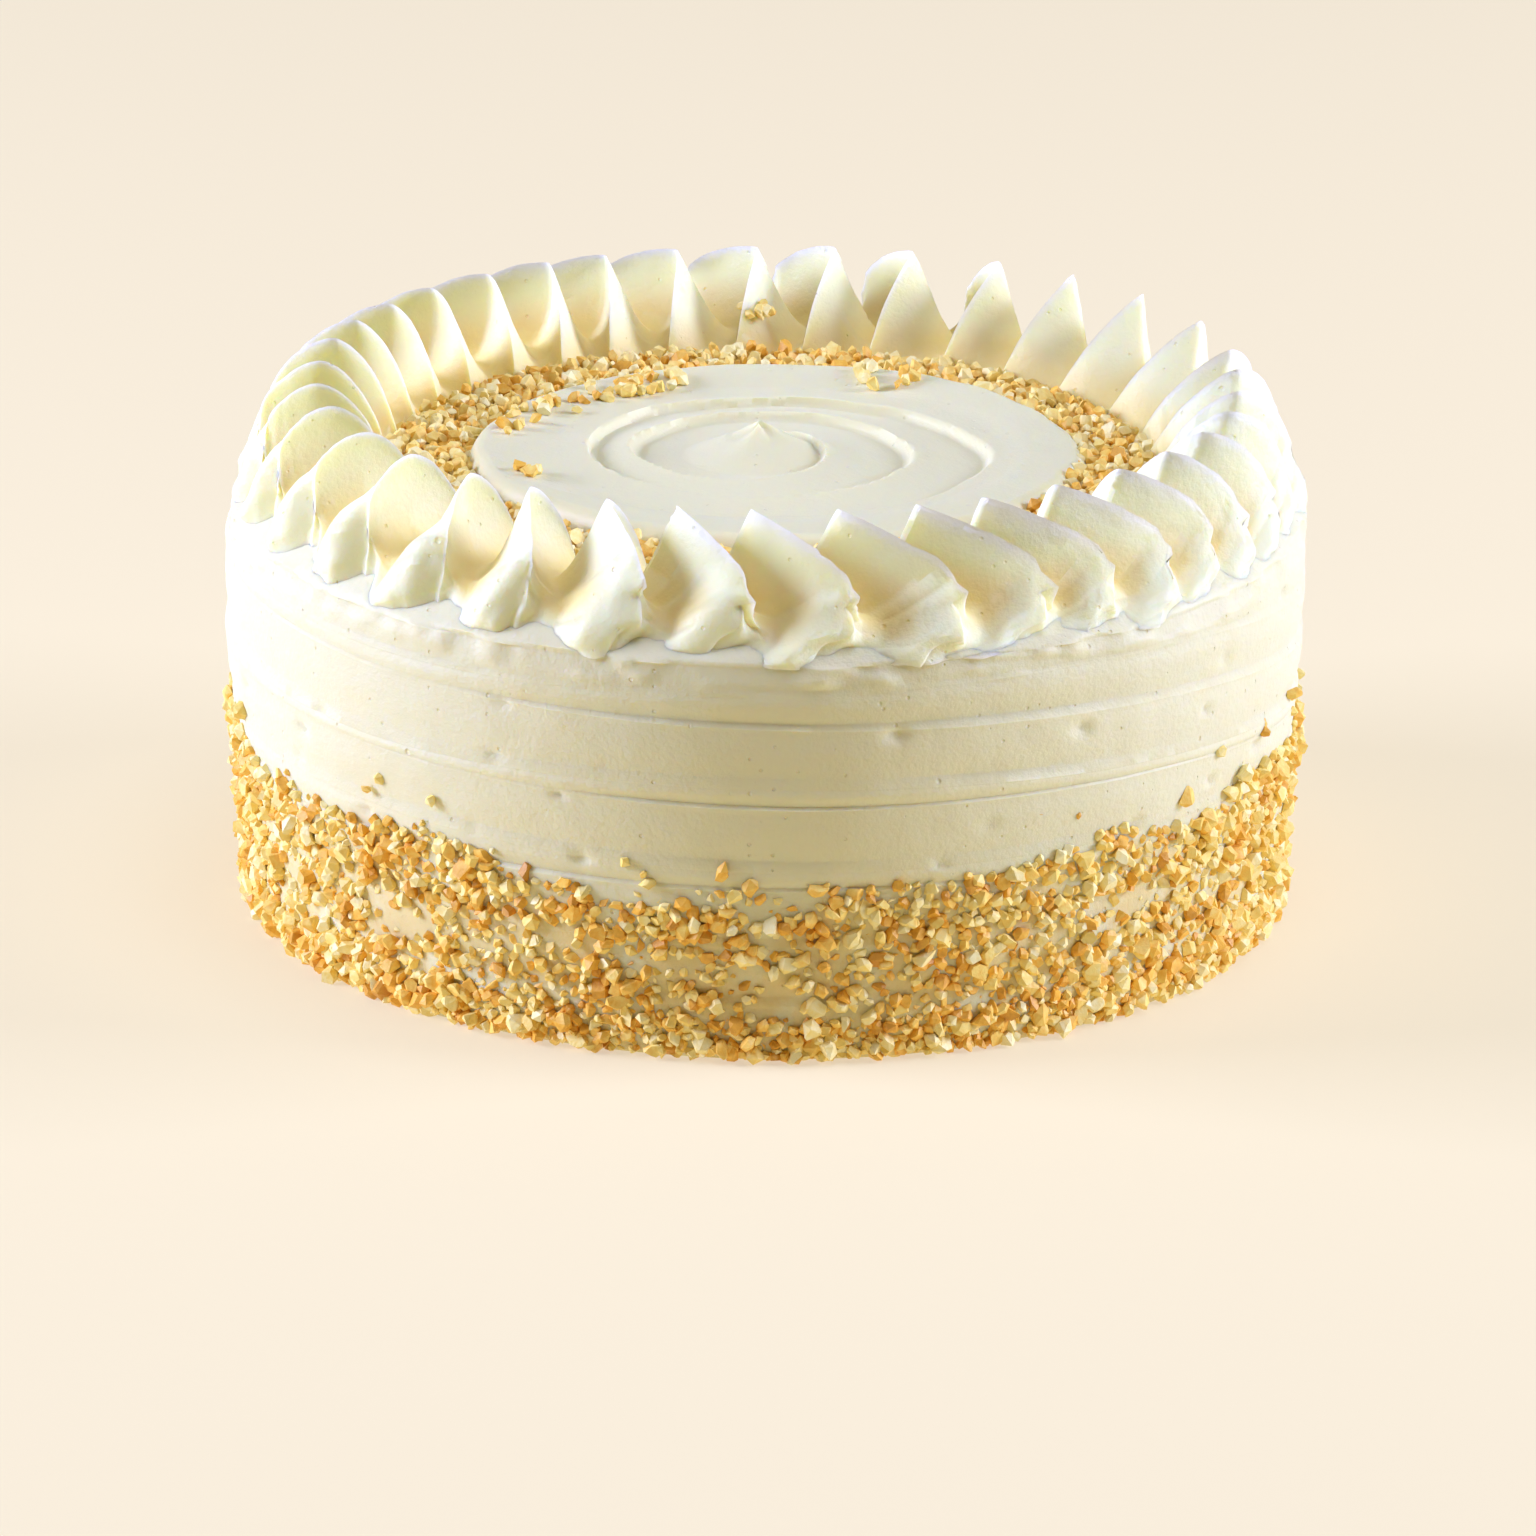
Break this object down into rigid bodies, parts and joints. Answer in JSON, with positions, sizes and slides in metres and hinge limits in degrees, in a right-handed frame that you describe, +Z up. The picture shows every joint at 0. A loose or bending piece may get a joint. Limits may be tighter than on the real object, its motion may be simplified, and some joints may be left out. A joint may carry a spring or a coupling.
{
  "type": "layer cake",
  "caption": "Round frosted layer cake coated in chopped roasted nuts round its foot and on top, with a piped ruffle border of cream.",
  "frame": {"origin": "centre of the base, on the surface that the cake stands on", "axes": "+Z up through the middle of the cake, front towards -Y"},
  "size_m": [0.2244, 0.2247, 0.1108],
  "materials": {
    "frosting": "smooth satin cream",
    "piped_cream": "smooth satin cream",
    "chopped_nuts": "waxy cut faces of roasted nut"
  },
  "bodies": {
    "root": {"frosted_cake": "frosting", "piped_border": "piped_cream"}
  },
  "joints": []
}
